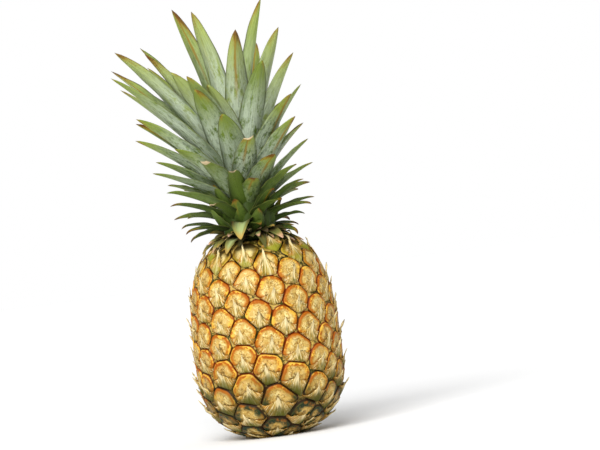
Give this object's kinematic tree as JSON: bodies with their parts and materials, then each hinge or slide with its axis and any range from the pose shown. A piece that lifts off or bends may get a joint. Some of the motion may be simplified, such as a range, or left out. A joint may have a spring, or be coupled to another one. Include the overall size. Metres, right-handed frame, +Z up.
{
  "type": "pineapple",
  "caption": "Ripe whole pineapple with its crown of leaves, standing upright on its cut base.",
  "frame": {"origin": "centre of the stalk's cut face, on the surface that the fruit stands on", "axes": "+Z up along the fruit's axis towards the crown, -Y towards the front"},
  "size_m": [0.1593, 0.1465, 0.3503],
  "materials": {
    "rind": "waxy rind of golden eyes with dry papery bracts and dark grooves",
    "leaf": "tough leaf with a pale waxy bloom, lengthwise veins and dry brown tips",
    "stalk": "dry cut face of a fibrous stalk"
  },
  "bodies": {
    "root": {"fruit": "rind", "crown": "leaf", "stalk": "stalk"}
  },
  "joints": []
}
